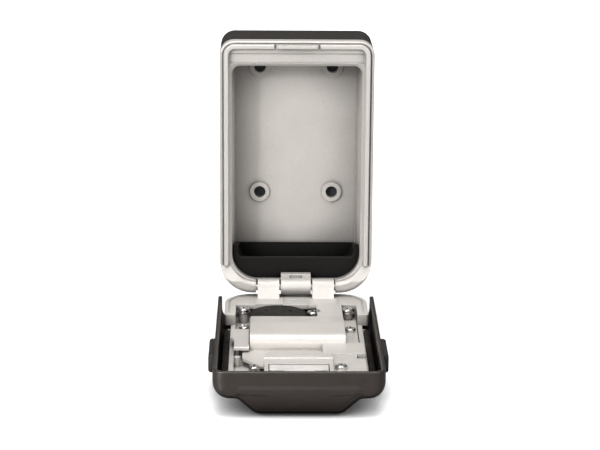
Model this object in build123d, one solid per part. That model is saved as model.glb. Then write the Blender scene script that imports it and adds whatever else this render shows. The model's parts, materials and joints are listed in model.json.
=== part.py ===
from build123d import *
import os

# Wall-mounted key lock box: a cast body with a key cavity, a hinged door that carries
# a four-wheel combination mechanism, and a sliding weather cover over the door.
#
# Everything is modelled around the hinge axis: X to the right, Y into the wall, Z up,
# with the door swung open and lying level towards -Y. The finished nodes are then
# moved so that the origin is the centre of the rear face at mid-height.
# The X width of a door feature is the same open or closed. Its distance from the
# hinge along -Y becomes a height when the door is shut.

# ---- driving dimensions, millimetres ----
BODY_HALF_WIDTH = 35.2
BODY_TOP = 115.7
BODY_BOTTOM = -2.4
BODY_DEPTH = 32.0
BODY_TOP_RADIUS = 6.5
BODY_BOTTOM_RADIUS = 15.0
BODY_MID = (BODY_TOP + BODY_BOTTOM) / 2

FRAME_DEPTH = 5.5
JACKET_WALL = 1.8
JACKET_BACK = 1.2
JACKET_GAP = 0.05

CAVITY_HALF_WIDTH = 29.8
CAVITY_TOP = 104.3
CAVITY_FLOOR = 2.9
CAVITY_DRAFT = 1.2
CAVITY_BACK = BODY_DEPTH - 3.2
CAVITY_TOP_RADIUS = 3.8
CAVITY_BOTTOM_RADIUS = 12.5

TRAY_LIP = 13.3
TRAY_SIDE = 19.2
TRAY_BACK = 14.0

RAIL_IN = 31.2
RAIL_OUT = 33.3
RAIL_HEIGHT = 2.2
RAIL_END = 10.5
RAIL_TOP = 114.4
BAND_HEIGHT = 2.6
BAND_LIP = 15.4
RAIL_GROOVE = 0.7
NOTCH_HALF_WIDTH = 10.4

WALL_HOLE_RADIUS = 2.75
WALL_HOLE_X = 17.0
WALL_HOLE_LOW = 39.0
WALL_HOLE_HIGH = 99.0

# Jacket screws: x, z
JACKET_SCREWS = [(-26.0, 16.0), (26.0, 16.0), (-26.0, 104.0), (26.0, 104.0)]

PIN_RADIUS = 1.5
PIN_CLEARANCE = 0.05
BARREL_RADIUS = 3.8
BARREL_CLEARANCE = 0.35
CENTRE_KNUCKLE = 6.9
DOOR_KNUCKLE_IN = 7.7
DOOR_KNUCKLE_OUT = 17.7
OUTER_KNUCKLE = 18.45
PIN_HALF_LENGTH = 23.5

DOOR_HALF_WIDTH = 29.6
EAR_HALF_WIDTH = 32.6
DOOR_HINGE_END = 2.2
DOOR_LOWER_END = 1.4
DOOR_FAR_END = -115.6
EAR_END = -31.0
DOOR_TOP = -4.0
DOOR_FLOOR = -10.4
DOOR_FRONT = -12.2
DOOR_WALL = 2.0
DOOR_SIDE_TOP = -8.8
EAR_BOTTOM = -9.0
EAR_RADIUS = 13.5
DOOR_LOWER_RADIUS = 9.0
HINGE_PLATE_END = -15.4
HINGE_PLATE_UNDER = -6.0
PAD_TOP = -3.6
BLOCK_START = -12.0

COVER_OUT = 35.85
COVER_IN = 33.9
COVER_RIM = -1.7
COVER_FRONT = -14.4
COVER_SHEET = 1.8
COVER_TIP = -9.0
COVER_FAR_END = -118.0
COVER_END_WALL = 2.0
COVER_CORNER = 7.0
BULGE_BASE = 25.6
BULGE_TOP = 18.2
BULGE_DEPTH = -21.65

WHEEL_RADIUS = 8.0
WHEEL_WIDTH = 6.4
WHEEL_PITCH = 7.4
WHEEL_BORE = 4.6
WHEEL_Y = -60.0
WHEEL_Z = -10.0
HUB_RADIUS = 4.55
CAM_RADIUS = 6.2
CAM_THICKNESS = 0.6
SHAFT_RADIUS = 1.5
WHEELS = 4
BEZEL_WINDOW = 15.0

HOUSING_HALF_WIDTH = 20.7
HOUSING_NEAR = -73.0
HOUSING_TOP = -0.5
HOUSING_ROUND = 4.5
HOUSING_FLAT_FAR = -53.2
HOUSING_LIP = -37.8
HOUSING_LIP_TOP = -2.5
HOUSING_WALL = 1.2
HOUSING_BACK = -47.0
DECK_LEFT = -6.9
DECK_RIGHT = -3.8
DECK_END = -4.4
DECK_EDGE = 28.4
SIDE_PLATE = -8.3

CAP_X = -8.2
CAP_Y = -28.6
CAP_RADIUS = 12.9
CAP_TOP = -4.0
CAP_UNDER = -5.6
CELL_RADIUS = 10.0
CELL_TOP = -6.0
CELL_BOTTOM = -9.2

BOARD_UNDER = -9.2
BOARD_TOP = -8.2
LAMP_X = (12.0, 17.0)
BUTTON_RADIUS = 3.9
BUTTON_X = 14.0
BUTTON_Y = -33.0

BAR_TOP = -3.1
BAR_UNDER = -4.0
LATCH_FRAME_TOP = -2.6
LATCH_FRAME_CREST = -2.0
BAR_FAR = -104.3
BAR_NEAR = -110.9
NOSE_HALF_WIDTH = 6.4
NOSE_END = -112.5
STRIKE_LOW = 113.1
STRIKE_HIGH = 114.4
STRIKE_REACH = -5.4

SCREW_HEAD_RADIUS = 2.55
SCREW_HEAD_HEIGHT = 1.7
SCREW_SHANK_RADIUS = 1.2

# Cover screws: x, y, height of the face that the head bears on, height of the shank's end
SCREWS = [
    (-24.0, -21.5, -5.2, -9.8),
    (23.3, -22.5, -5.2, -9.8),
    (-23.5, -35.0, -9.6, -12.0),
    (7.4, -27.5, -4.9, -9.8),
    (23.9, -41.7, -8.3, -12.0),
    (-18.6, -98.5, -7.0, -12.0),
    (17.7, -104.6, DECK_END, -9.8),
]
TALL_POSTS = SCREWS[:2]
MIDDLE_SCREW = 3
WASHER_THICKNESS = 0.6
WASHER_RADIUS = 2.9


# ---- shared shapes ----
def slab(x0, x1, y0, y1, z0, z1):
    """A block between two opposite corners."""
    return Pos((x0 + x1) / 2, (y0 + y1) / 2, (z0 + z1) / 2) * Box(x1 - x0, y1 - y0, z1 - z0)


def rod_x(radius, x0, x1, y, z):
    """A round bar along X."""
    return Pos((x0 + x1) / 2, y, z) * Rot(0, 90, 0) * Cylinder(radius, x1 - x0)


def rod_y(radius, x, y0, y1, z):
    """A round bar along Y."""
    return Pos(x, (y0 + y1) / 2, z) * Rot(90, 0, 0) * Cylinder(radius, y1 - y0)


def rod_z(radius, x, y, z0, z1):
    """A round bar along Z."""
    return Pos(x, y, (z0 + z1) / 2) * Cylinder(radius, z1 - z0)


def front_panel(half_width, low, high, low_radius, high_radius):
    """A front-view outline with its own radii at the bottom and at the top."""
    panel = Pos(0, (low + high) / 2) * Rectangle(2 * half_width, high - low)
    panel = fillet(panel.vertices().sort_by(Axis.Y)[:2], low_radius)
    return fillet(panel.vertices().sort_by(Axis.Y)[-2:], high_radius)


def front_prism(outline, y_front, y_back):
    """A front-view outline made solid between two depths."""
    return extrude(Plane.XZ.offset(-y_back) * outline, amount=y_back - y_front)


def plan_prism(outline, z0, z1):
    """A plan-view outline made solid between two heights."""
    return Pos(0, 0, z0) * extrude(outline, amount=z1 - z0)


def side_prism(outline, x0, x1):
    """A side-view outline (Y, Z) made solid between two X positions."""
    return extrude(Plane.YZ.offset(x0) * outline, amount=x1 - x0)


def polygon(*points):
    """A flat face inside straight edges."""
    return make_face(Polyline(*points, close=True))


def both_sides(shape):
    """A shape together with its mirror image across the middle plane."""
    return shape + mirror(shape, about=Plane.YZ)


def wall_holes(radius, y0, y1):
    """The four wall-fixing holes as solid bars."""
    bars = [
        rod_y(radius, side * WALL_HOLE_X, y0, y1, height)
        for side in (-1, 1)
        for height in (WALL_HOLE_LOW, WALL_HOLE_HIGH)
    ]
    return bars[0] + bars[1:]


# ---- body ----
def body_outline(inset):
    """The body's front-view outline, pulled in evenly by an inset."""
    return front_panel(
        BODY_HALF_WIDTH - inset,
        BODY_BOTTOM + inset,
        BODY_TOP - inset,
        BODY_BOTTOM_RADIUS - inset,
        BODY_TOP_RADIUS - min(inset, 3.0),
    )


def cavity_outline(inset):
    """The key cavity's front-view outline."""
    return front_panel(
        CAVITY_HALF_WIDTH - inset,
        CAVITY_FLOOR + inset,
        CAVITY_TOP - inset,
        CAVITY_BOTTOM_RADIUS - inset,
        CAVITY_TOP_RADIUS,
    )


def key_cavity():
    """The cavity, drafted so that it narrows towards the wall, with a flared mouth."""
    mouth = Plane.XZ * cavity_outline(0)
    back = Plane.XZ.offset(-CAVITY_BACK) * cavity_outline(CAVITY_DRAFT)
    flare = 1.5
    wide = Plane.XZ.offset(0.01) * cavity_outline(-flare)
    narrow = Plane.XZ.offset(-flare) * cavity_outline(0.05)
    return loft([mouth, back]) + loft([wide, narrow])


def guard_rail():
    """The raised rail down both sides and across the top, open in the middle for the strike."""
    outer = front_panel(RAIL_OUT, RAIL_END, RAIL_TOP, 0.2, 5.0)
    inner = front_panel(RAIL_IN, RAIL_END - 1, RAIL_TOP - 2.1, 0.2, 3.0)
    rail = front_prism(outer - inner, -RAIL_HEIGHT, 0.2)
    crest = rail.edges().filter_by_position(Axis.Y, -RAIL_HEIGHT - 0.01, -RAIL_HEIGHT + 0.01)
    rail = fillet(crest, 0.45)
    return rail - slab(-NOTCH_HALF_WIDTH, NOTCH_HALF_WIDTH, -3, 0, 111.5, 115.2)


def lower_band():
    """The rounded band that stands forward around the foot of the frame and holds the pin's ends."""
    outer = body_outline(0)
    inner = front_panel(32.7, CAVITY_FLOOR, CAVITY_TOP, BAND_LIP, CAVITY_TOP_RADIUS)
    band = front_prism(outer - inner, -BAND_HEIGHT, 0.2)
    band -= slab(-40, 40, -5, 1, RAIL_END, 120)
    front = band.edges().filter_by_position(Axis.Y, -BAND_HEIGHT - 0.01, -BAND_HEIGHT + 0.01)
    long_edges = front.sort_by(Edge.length)[-6:]
    band = fillet(long_edges, 1.9)
    taper = polygon(
        (-BAND_HEIGHT - 0.1, 3.2),
        (0.0, RAIL_END - 0.2),
        (0.0, RAIL_END + 1),
        (-5, RAIL_END + 1),
        (-5, 3.2),
    )
    band -= side_prism(taper, -40, 40)
    return band - slab(-OUTER_KNUCKLE, OUTER_KNUCKLE, -5, 1, -5, 12)


def frame_groove():
    """The narrow groove that runs outside the guard rail."""
    outer = front_panel(RAIL_OUT + RAIL_GROOVE, RAIL_END - 4, RAIL_TOP + 0.5, 0.2, 5.5)
    inner = front_panel(RAIL_OUT, RAIL_END - 5, RAIL_TOP, 0.2, 5.0)
    return front_prism(outer - inner, -0.1, 0.6)


def body_housing():
    """The cast body: front frame, cavity box, hinge lugs and hole bosses."""
    frame = front_prism(body_outline(0), 0, FRAME_DEPTH)
    edge = frame.edges().filter_by_position(Axis.Y, -0.01, 0.01)
    frame = fillet(edge, 0.7)
    shell = front_prism(body_outline(JACKET_WALL), FRAME_DEPTH - 0.5, BODY_DEPTH - JACKET_BACK)
    casting = frame + shell - key_cavity()
    casting -= frame_groove()
    casting += guard_rail()
    casting += lower_band()

    # A shallow trough across the head of the frame, below the top rail.
    trough = polygon((-0.1, 110.5), (0.9, 109.5), (0.9, 106.2), (-0.1, 105.2))
    casting -= side_prism(trough, -30.6, 30.6)

    # The lower edge is cut away between the lugs so that the door's knuckles can turn.
    relief = rod_x(BARREL_RADIUS + BARREL_CLEARANCE, CENTRE_KNUCKLE, OUTER_KNUCKLE, 0, 0)
    relief += slab(CENTRE_KNUCKLE, OUTER_KNUCKLE, -1, BARREL_RADIUS + BARREL_CLEARANCE, -4, 4.15)
    casting -= both_sides(relief)
    knuckle = rod_x(BARREL_RADIUS, -CENTRE_KNUCKLE, CENTRE_KNUCKLE, 0, 0)
    knuckle += slab(-CENTRE_KNUCKLE, CENTRE_KNUCKLE, 0, 3.4, -BARREL_RADIUS + 1.4, 6.2)
    knuckle -= slab(-3.1, 3.1, -1, 0.8, 4.0, 5.6)
    casting += knuckle
    casting -= rod_x(PIN_RADIUS + PIN_CLEARANCE, -PIN_HALF_LENGTH - 0.2, PIN_HALF_LENGTH + 0.2, 0, 0)

    # Bosses around the wall-fixing holes, then the holes.
    boss_front = CAVITY_BACK - 1.4
    casting += wall_holes(4.6, boss_front, CAVITY_BACK + 0.5)
    casting += slab(-12.5, 12.5, CAVITY_BACK - 1.0, CAVITY_BACK + 0.5, 98.0, CAVITY_TOP - 0.6)
    casting -= wall_holes(WALL_HOLE_RADIUS, boss_front - 1, BODY_DEPTH)

    # Slot that holds the strike, and blind holes for the jacket screws.
    casting -= slab(-9.6, 9.6, -0.1, 3.0, STRIKE_LOW, STRIKE_HIGH)
    for x, z in JACKET_SCREWS:
        casting -= rod_y(1.45, x, CAVITY_BACK + 0.4, BODY_DEPTH, z)
    return casting


def rear_jacket():
    """The black jacket that wraps the casting behind its front frame."""
    outer = front_prism(body_outline(0), FRAME_DEPTH + 0.05, BODY_DEPTH)
    back_edge = outer.edges().filter_by_position(Axis.Y, BODY_DEPTH - 0.01, BODY_DEPTH + 0.01)
    outer = fillet(back_edge, 1.0)
    inside = body_outline(JACKET_WALL - JACKET_GAP)
    jacket = outer - front_prism(inside, FRAME_DEPTH - 1, BODY_DEPTH - JACKET_BACK + JACKET_GAP)
    jacket -= wall_holes(WALL_HOLE_RADIUS, 0, BODY_DEPTH + 1)
    for x, z in JACKET_SCREWS:
        jacket -= rod_y(1.3, x, 0, BODY_DEPTH + 1, z)
        jacket -= Pos(x, BODY_DEPTH - 0.6, z) * Rot(-90, 0, 0) * Cone(1.3, 2.6, 1.3)
    return jacket


def jacket_screws():
    """Countersunk screws that hold the jacket to the casting."""
    screws = []
    for x, z in JACKET_SCREWS:
        head = Pos(x, BODY_DEPTH - 0.75, z) * Rot(-90, 0, 0) * Cone(1.2, 2.4, 1.2)
        screw = head + rod_y(1.15, x, CAVITY_BACK + 0.8, BODY_DEPTH - 1.0, z)
        screw -= slab(x - 1.3, x + 1.3, BODY_DEPTH - 0.6, BODY_DEPTH, z - 0.3, z + 0.3)
        screw -= slab(x - 0.3, x + 0.3, BODY_DEPTH - 0.6, BODY_DEPTH, z - 1.3, z + 1.3)
        screws.append(screw)
    return Compound(screws)


def key_tray():
    """The black tray at the foot of the cavity, with a lip that keeps the keys in."""
    gap = 0.35
    low = CAVITY_FLOOR + gap
    block = front_panel(CAVITY_HALF_WIDTH - 0.7, low, 34.0, CAVITY_BOTTOM_RADIUS - 0.6, 0.5)
    front = 4.6
    back = CAVITY_BACK - 1.0
    tray = loft(
        [
            Plane.XZ.offset(-front) * block,
            Plane.XZ.offset(-back)
            * front_panel(CAVITY_HALF_WIDTH - 1.7, low + 1.2, 34.0, CAVITY_BOTTOM_RADIUS - 1.4, 0.5),
        ]
    )
    inside = front_panel(CAVITY_HALF_WIDTH - 3.1, low + 2.6, 40.0, CAVITY_BOTTOM_RADIUS - 3.4, 0.5)
    tray -= front_prism(inside, front + 1.6, back - 1.4)
    # The side walls fall towards the back, and the front wall is cut down to a low lip.
    rim = polygon((front - 1, TRAY_SIDE + 0.3), (back + 1, TRAY_BACK), (back + 1, 40), (front - 1, 40))
    tray -= side_prism(rim, -40, 40)
    opening = front_panel(CAVITY_HALF_WIDTH - 3.1, TRAY_LIP, 40.0, 1.6, 0.5)
    tray -= front_prism(opening, front - 1, front + 3)
    lip = tray.edges().filter_by(Axis.X).filter_by_position(Axis.Z, TRAY_LIP - 0.01, TRAY_LIP + 0.01)
    return fillet(lip, 0.6)


def strike_plate():
    """The steel tongue in the head of the frame, with the window that the bolt enters."""
    tongue = slab(-9.55, 9.55, STRIKE_REACH, 2.9, STRIKE_LOW + 0.03, STRIKE_HIGH - 0.03)
    corners = tongue.edges().filter_by(Axis.Z).sort_by(Axis.Y)[:2]
    tongue = fillet(corners, 1.0)
    return tongue - slab(-6.9, 6.9, -4.15, -2.35, 110, 118)


def hinge_pin():
    """The steel pin through all the knuckles."""
    pin = rod_x(PIN_RADIUS, -PIN_HALF_LENGTH, PIN_HALF_LENGTH, 0, 0)
    return chamfer(pin.edges().filter_by(GeomType.CIRCLE), 0.3)


# ---- door ----
def door_outline(inset):
    """The door shell's plan outline without its ears."""
    length = DOOR_LOWER_END - DOOR_FAR_END - 2 * inset
    middle = (DOOR_LOWER_END + DOOR_FAR_END) / 2
    panel = Pos(0, middle) * Rectangle(2 * (DOOR_HALF_WIDTH - inset), length)
    panel = fillet(panel.vertices().sort_by(Axis.Y)[-2:], DOOR_LOWER_RADIUS - inset)
    return fillet(panel.vertices().sort_by(Axis.Y)[:2], 4.0 - min(inset, 2.0))


def ear_outline(inset):
    """The wider hinge end of the door, in plan."""
    length = DOOR_HINGE_END - EAR_END - 2 * inset
    panel = Pos(0, (DOOR_HINGE_END + EAR_END) / 2) * Rectangle(2 * (EAR_HALF_WIDTH - inset), length)
    panel = fillet(panel.vertices().sort_by(Axis.Y)[-2:], EAR_RADIUS - inset)
    return fillet(panel.vertices().sort_by(Axis.Y)[:2], 1.4)


def door_knuckles():
    """The two barrels that turn on the pin, and the arms that carry them."""
    barrel = rod_x(BARREL_RADIUS, DOOR_KNUCKLE_IN, DOOR_KNUCKLE_OUT, 0, 0)
    arm = polygon((0, -4.3), (0, 2.6), (-1.6, 3.45), (-7.0, PAD_TOP), (-12.0, PAD_TOP), (-12.0, -4.3))
    arm = side_prism(arm, DOOR_KNUCKLE_IN, DOOR_KNUCKLE_OUT)
    return both_sides(barrel + arm)


def screw_posts():
    """Bosses on the door's floor under the cover screws."""
    posts = []
    for x, y, seat, _ in SCREWS:
        if seat == DECK_END:
            top = DECK_END - HOUSING_WALL
        elif seat == SIDE_PLATE:
            top = SIDE_PLATE - HOUSING_WALL
        elif (x, y) in [(post[0], post[1]) for post in TALL_POSTS]:
            top = seat - WASHER_THICKNESS
        else:
            top = seat
        radius = 2.0 if abs(x) < 10 else 2.4
        posts.append(rod_z(radius, x, y, DOOR_FLOOR - 0.5, top))
    return posts


def screw_holes():
    """Clearance for every cover screw's shank."""
    return [rod_z(SCREW_SHANK_RADIUS + 0.04, x, y, end - 0.3, 0) for x, y, _, end in SCREWS]


def guide_tongues():
    """The long tongues on the door's sides that the weather cover runs on."""
    return both_sides(slab(DOOR_HALF_WIDTH - 0.5, 31.0, -114.0, -34.0, -11.2, -9.8))


def door_shell():
    """The cast door: a shallow tray with ears, knuckles, posts and the dial window."""
    shell = plan_prism(door_outline(0), DOOR_FRONT, DOOR_TOP)
    bottom = shell.edges().filter_by_position(Axis.Z, DOOR_FRONT - 0.01, DOOR_FRONT + 0.01)
    shell = fillet(bottom, 1.2)
    shell += plan_prism(ear_outline(0), EAR_BOTTOM, DOOR_TOP)

    inner = door_outline(DOOR_WALL)
    shell -= plan_prism(inner, DOOR_FLOOR, 0) & slab(-40, 40, -120, HINGE_PLATE_END, DOOR_FLOOR, 0)
    shell -= plan_prism(inner, DOOR_FLOOR, HINGE_PLATE_UNDER) & slab(-27, 27, -20, -2.5, DOOR_FLOOR, 0)

    # The side walls stay low beyond the ears, to leave room for the weather cover's wings.
    wall_inside = DOOR_HALF_WIDTH - DOOR_WALL
    shell -= both_sides(slab(wall_inside, 40, -120, EAR_END, DOOR_SIDE_TOP, 0))

    # A shallow channel follows the rim of the hinge plate.
    channel = ear_outline(1.6) - ear_outline(2.6)
    shell -= plan_prism(channel, DOOR_TOP - 0.5, 0) & slab(-40, 40, -26, 5, -6, 0)

    # Clearance around the fixed knuckles and the body's lower edge.
    shell += door_knuckles()
    shell += slab(-18.8, -5.9, HINGE_PLATE_END, -4.6, DOOR_TOP - 0.5, PAD_TOP)
    shell += slab(5.8, 19.2, BLOCK_START, -5.9, DOOR_TOP - 0.5, PAD_TOP)
    turning = BARREL_RADIUS + BARREL_CLEARANCE
    shell -= rod_x(turning, -CENTRE_KNUCKLE - 0.4, CENTRE_KNUCKLE + 0.4, 0, 0)
    shell -= both_sides(rod_x(turning - 0.3, DOOR_KNUCKLE_OUT + 0.05, 40, 0, 0))
    shell -= rod_x(PIN_RADIUS + PIN_CLEARANCE, -40, 40, 0, 0)

    # Ribs across the plate between the knuckle arms.
    for step in range(4):
        shell -= slab(-5.6, 5.4, -12.6 + 2.6 * step, -11.8 + 2.6 * step, DOOR_TOP - 0.5, 0)

    # Battery cup.
    shell += rod_z(CELL_RADIUS + 2.6, CAP_X, CAP_Y, DOOR_FLOOR - 0.5, CAP_UNDER - 0.1)
    shell -= rod_z(CELL_RADIUS + 0.3, CAP_X, CAP_Y, DOOR_FLOOR, 0)

    shell += guide_tongues()
    shell += screw_posts()
    shell -= screw_holes()

    # Rest post and guide ribs for the change lever.
    shell += rod_z(1.35, -26.0, -85.0, DOOR_FLOOR - 0.5, -5.9)
    for x in (-26.1, -22.9):
        shell += slab(x - 0.5, x + 0.5, -72.0, -50.0, DOOR_FLOOR - 0.5, -6.1)

    # Spring abutment for the latch.
    shell += slab(-2.4, 2.4, -77.4, -75.6, DOOR_FLOOR - 0.5, -7.6)

    # Openings: dial window, saddles for the shaft, lever slot, button hole, strike slot.
    shell -= slab(-16.0, 16.0, WHEEL_Y - 9.2, WHEEL_Y + 9.2, -13, DOOR_FLOOR + 0.1)
    shell -= rod_x(SHAFT_RADIUS + 0.03, -19.45, 19.45, WHEEL_Y, WHEEL_Z)
    shell -= slab(-3.0, 3.0, -100.0, -92.4, -13, DOOR_FLOOR + 0.1)
    shell -= rod_z(BUTTON_RADIUS + 0.1, BUTTON_X, BUTTON_Y, -13, DOOR_FLOOR + 0.1)
    shell -= slab(-11.0, 11.0, -118, -112.7, -6.4, 0)
    return shell


def housing_profile(offset):
    """Side view of the wheel housing: a vertical near wall, a round, a flat top and a ramp."""
    near = HOUSING_NEAR + offset
    top = HOUSING_TOP - offset
    centre_y = HOUSING_NEAR + HOUSING_ROUND
    centre_z = HOUSING_TOP - HOUSING_ROUND
    radius = HOUSING_ROUND - offset
    corner = RadiusArc((near, centre_z), (centre_y, top), radius)
    return near, top, centre_z, corner


def wheel_housing():
    """The long hood over the number wheels, open underneath."""
    near, top, round_z, corner = housing_profile(0)
    tail = Polyline(
        corner @ 1,
        (HOUSING_FLAT_FAR, top),
        (HOUSING_LIP, HOUSING_LIP_TOP),
        (HOUSING_LIP, HOUSING_LIP_TOP - HOUSING_WALL),
        (HOUSING_BACK, HOUSING_LIP_TOP - HOUSING_WALL),
        (HOUSING_BACK, DOOR_FLOOR),
        (near, DOOR_FLOOR),
        (near, round_z),
    )
    outer = side_prism(make_face([corner, tail]), -HOUSING_HALF_WIDTH, HOUSING_HALF_WIDTH)
    near, top, round_z, corner = housing_profile(HOUSING_WALL)
    far = HOUSING_BACK - HOUSING_WALL
    tail = Polyline(
        corner @ 1,
        (HOUSING_FLAT_FAR, top),
        (far, top - 0.7),
        (far, DOOR_FLOOR - 1),
        (near, DOOR_FLOOR - 1),
        (near, round_z),
    )
    hollow = side_prism(make_face([corner, tail]), -19.5, 19.5)
    return outer - hollow


def decks():
    """Flat plates around the housing that close the mechanism space."""
    left = polygon(
        (-10, -72.5),
        (-20.7, -72.5),
        (-23.9, -76.8),
        (-23.9, -84.3),
        (-16.0, -94.5),
        (-10, -94.5),
    )
    deck = plan_prism(left, DECK_LEFT - HOUSING_WALL, DECK_LEFT)
    right = polygon((10.6, -72.5), (DECK_EDGE, -72.5), (DECK_EDGE, -86.8), (10.6, -86.8))
    deck += plan_prism(right, DECK_RIGHT - 1.8, DECK_RIGHT)
    end = polygon(
        (14.0, -86.0),
        (24.9, -86.0),
        (24.9, -91.5),
        (DECK_EDGE, -91.5),
        (DECK_EDGE, -112.0),
        (14.0, -112.0),
    )
    deck += plan_prism(end, DECK_END - HOUSING_WALL, DECK_END)
    side = polygon((20.0, -25.5), (27.0, -25.5), (27.0, -73.0), (20.0, -73.0))
    deck += plan_prism(side, SIDE_PLATE - HOUSING_WALL, SIDE_PLATE)
    deck += slab(25.8, 27.0, -87.0, -71.8, SIDE_PLATE - HOUSING_WALL, DECK_RIGHT)
    return deck


def hinge_block():
    """The raised tongue of the cover that runs back to the right-hand knuckle."""
    under = HOUSING_LIP_TOP - HOUSING_WALL
    slope = polygon(
        (BLOCK_START, DOOR_TOP),
        (BLOCK_START, PAD_TOP),
        (HOUSING_LIP, HOUSING_LIP_TOP),
        (-48.5, under),
        (HOUSING_LIP, under),
        (-19.0, -4.7),
        (-15.5, -4.7),
        (-15.5, DOOR_TOP),
    )
    narrow = side_prism(slope, 5.8, 19.2) & slab(5, 20, -17.7, 0, -8, 0)
    wide = side_prism(slope, 9.3, HOUSING_HALF_WIDTH) & slab(9, 21, -48.5, -15.5, -8, 0)
    wide += slab(19.5, HOUSING_HALF_WIDTH, -47.5, -26.0, DOOR_FLOOR, -3.6)
    wide += slab(9.3, 10.3, -37.8, -17.0, -8.0, -3.6)
    return narrow + wide


def latch_frame():
    """The flared ramp and the frame around the latch bar."""
    plan = polygon(
        (-10.3, -72.6),
        (10.3, -72.6),
        (14.4, -94.0),
        (14.4, -113.4),
        (-14.4, -113.4),
        (-14.4, -94.0),
    )
    side = polygon(
        (-72.6, DECK_LEFT),
        (-94.0, LATCH_FRAME_CREST),
        (-97.3, LATCH_FRAME_CREST),
        (-97.5, LATCH_FRAME_TOP),
        (-113.4, LATCH_FRAME_TOP),
        (-113.4, DECK_LEFT - HOUSING_WALL),
        (-72.6, DECK_LEFT - HOUSING_WALL),
    )
    block = plan_prism(plan, -12, 0) & side_prism(side, -20, 20)
    # Underside hollow, then the slot for the bar and the strike.
    hollow = polygon(
        (-74.5, -7.7),
        (-94.0, -3.4),
        (-97.0, -3.4),
        (-99.5, -4.6),
        (-104.0, -4.6),
        (-104.0, -9),
        (-74.5, -9),
    )
    block -= side_prism(hollow, -9.3, 9.3)
    block -= slab(-12.7, 12.7, -114, -103.6, -9, 0)
    return block


def mechanism_cover():
    """The cover over the mechanism: wheel housing, decks, hinge block and latch frame."""
    cover = wheel_housing() + hinge_block() + decks() + latch_frame()
    cover -= rod_x(SHAFT_RADIUS + 0.03, -19.5 - 0.05, 19.55, WHEEL_Y, WHEEL_Z)
    cover -= slab(-19.55, 19.55, WHEEL_Y - 1.53, WHEEL_Y + 1.53, -12, WHEEL_Z)
    # Window for the fence, slots for the lamps, and screw clearances.
    cover -= slab(-15.0, 15.0, -75.0, -71.0, -11, -8.7)
    for x in LAMP_X:
        cover -= slab(x - 1.3, x + 1.3, -48.5, -46.5, -8.4, -6.2)
    cover -= screw_holes()
    middle_x, middle_y, _, _ = SCREWS[MIDDLE_SCREW]
    cover -= rod_z(SCREW_HEAD_RADIUS + 1.0, middle_x, middle_y, -9, 0)
    return cover


def cover_screws():
    """Pan-head screws with cross recesses, all as one group."""
    screws = []
    for x, y, seat, end in SCREWS:
        head = rod_z(SCREW_HEAD_RADIUS, x, y, seat, seat + SCREW_HEAD_HEIGHT)
        crown = head.edges().sort_by(Axis.Z)[-1]
        head = fillet(crown, 0.8)
        arm = 1.5
        top = seat + SCREW_HEAD_HEIGHT
        head -= slab(x - arm, x + arm, y - 0.35, y + 0.35, top - 0.9, top)
        head -= slab(x - 0.35, x + 0.35, y - arm, y + arm, top - 0.9, top)
        screws.append(head + rod_z(SCREW_SHANK_RADIUS, x, y, end, seat))
    return Compound(screws)


def post_washers():
    """Flat washers under the two tall screws beside the hinge."""
    washers = []
    for x, y, seat, _ in TALL_POSTS:
        ring = rod_z(WASHER_RADIUS, x, y, seat - WASHER_THICKNESS, seat)
        washers.append(ring - rod_z(SCREW_SHANK_RADIUS + 0.05, x, y, seat - 1, seat + 1))
    return Compound(washers)


# ---- battery and light ----
def battery_cap():
    """The round cap over the coin cell, with two holes for a pin spanner."""
    cap = rod_z(CAP_RADIUS, CAP_X, CAP_Y, CAP_UNDER, CAP_TOP)
    rim = cap.edges().sort_by(Axis.Z)[-1]
    cap = chamfer(rim, 0.4)
    cap += rod_z(9.4, CAP_X, CAP_Y, CAP_UNDER - 0.3, CAP_UNDER)
    for side in (-1, 1):
        cap -= rod_z(0.7, CAP_X + side * 5.6, CAP_Y + 4.2, CAP_TOP - 1.0, 0)
    return cap


def coin_cell():
    """A coin cell."""
    cell = rod_z(CELL_RADIUS, CAP_X, CAP_Y, CELL_BOTTOM, CELL_TOP)
    return fillet(cell.edges().filter_by(GeomType.CIRCLE), 0.35)


def battery_contact():
    """The sprung brass contact below the coin cell."""
    strip = slab(CAP_X - 6, CAP_X + 6, CAP_Y - 2, CAP_Y + 2, DOOR_FLOOR, DOOR_FLOOR + 0.3)
    hump = polygon(
        (CAP_X - 4, DOOR_FLOOR),
        (CAP_X - 1.2, CELL_BOTTOM),
        (CAP_X + 1.2, CELL_BOTTOM),
        (CAP_X + 4, DOOR_FLOOR),
    )
    return strip + front_prism(hump, CAP_Y - 1.2, CAP_Y + 1.2)


def light_board():
    """The small circuit board that drives the dial light, with its switch."""
    board = slab(10.6, 19.3, -46.4, -20.6, BOARD_UNDER, BOARD_TOP)
    board += rod_z(1.6, BUTTON_X, BUTTON_Y, BOARD_UNDER - 0.15, BOARD_UNDER + 0.2)
    board += slab(12.0, 15.0, -27.0, -23.0, BOARD_TOP - 0.2, BOARD_TOP + 1.0)
    board += slab(15.6, 18.0, -40.0, -38.0, BOARD_TOP - 0.2, BOARD_TOP + 0.7)
    return board


def dial_lamps():
    """Two lamps that shine through the housing onto the wheels."""
    lamps = []
    for x in LAMP_X:
        lamps.append(slab(x - 1.0, x + 1.0, -46.2, -44.0, BOARD_TOP, BOARD_TOP + 1.4))
    return Compound(lamps)


def light_button():
    """The push button on the door's face that turns the dial light on."""
    button = rod_z(BUTTON_RADIUS, BUTTON_X, BUTTON_Y, -14.0, DOOR_FLOOR)
    button = fillet(button.edges().sort_by(Axis.Z)[0], 0.7)
    return button + rod_z(BUTTON_RADIUS + 0.7, BUTTON_X, BUTTON_Y, DOOR_FLOOR, DOOR_FLOOR + 0.4)


# ---- dials ----
def wheel_centre(index):
    """Middle of a number wheel along the shaft."""
    return (index - (WHEELS - 1) / 2) * WHEEL_PITCH


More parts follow.
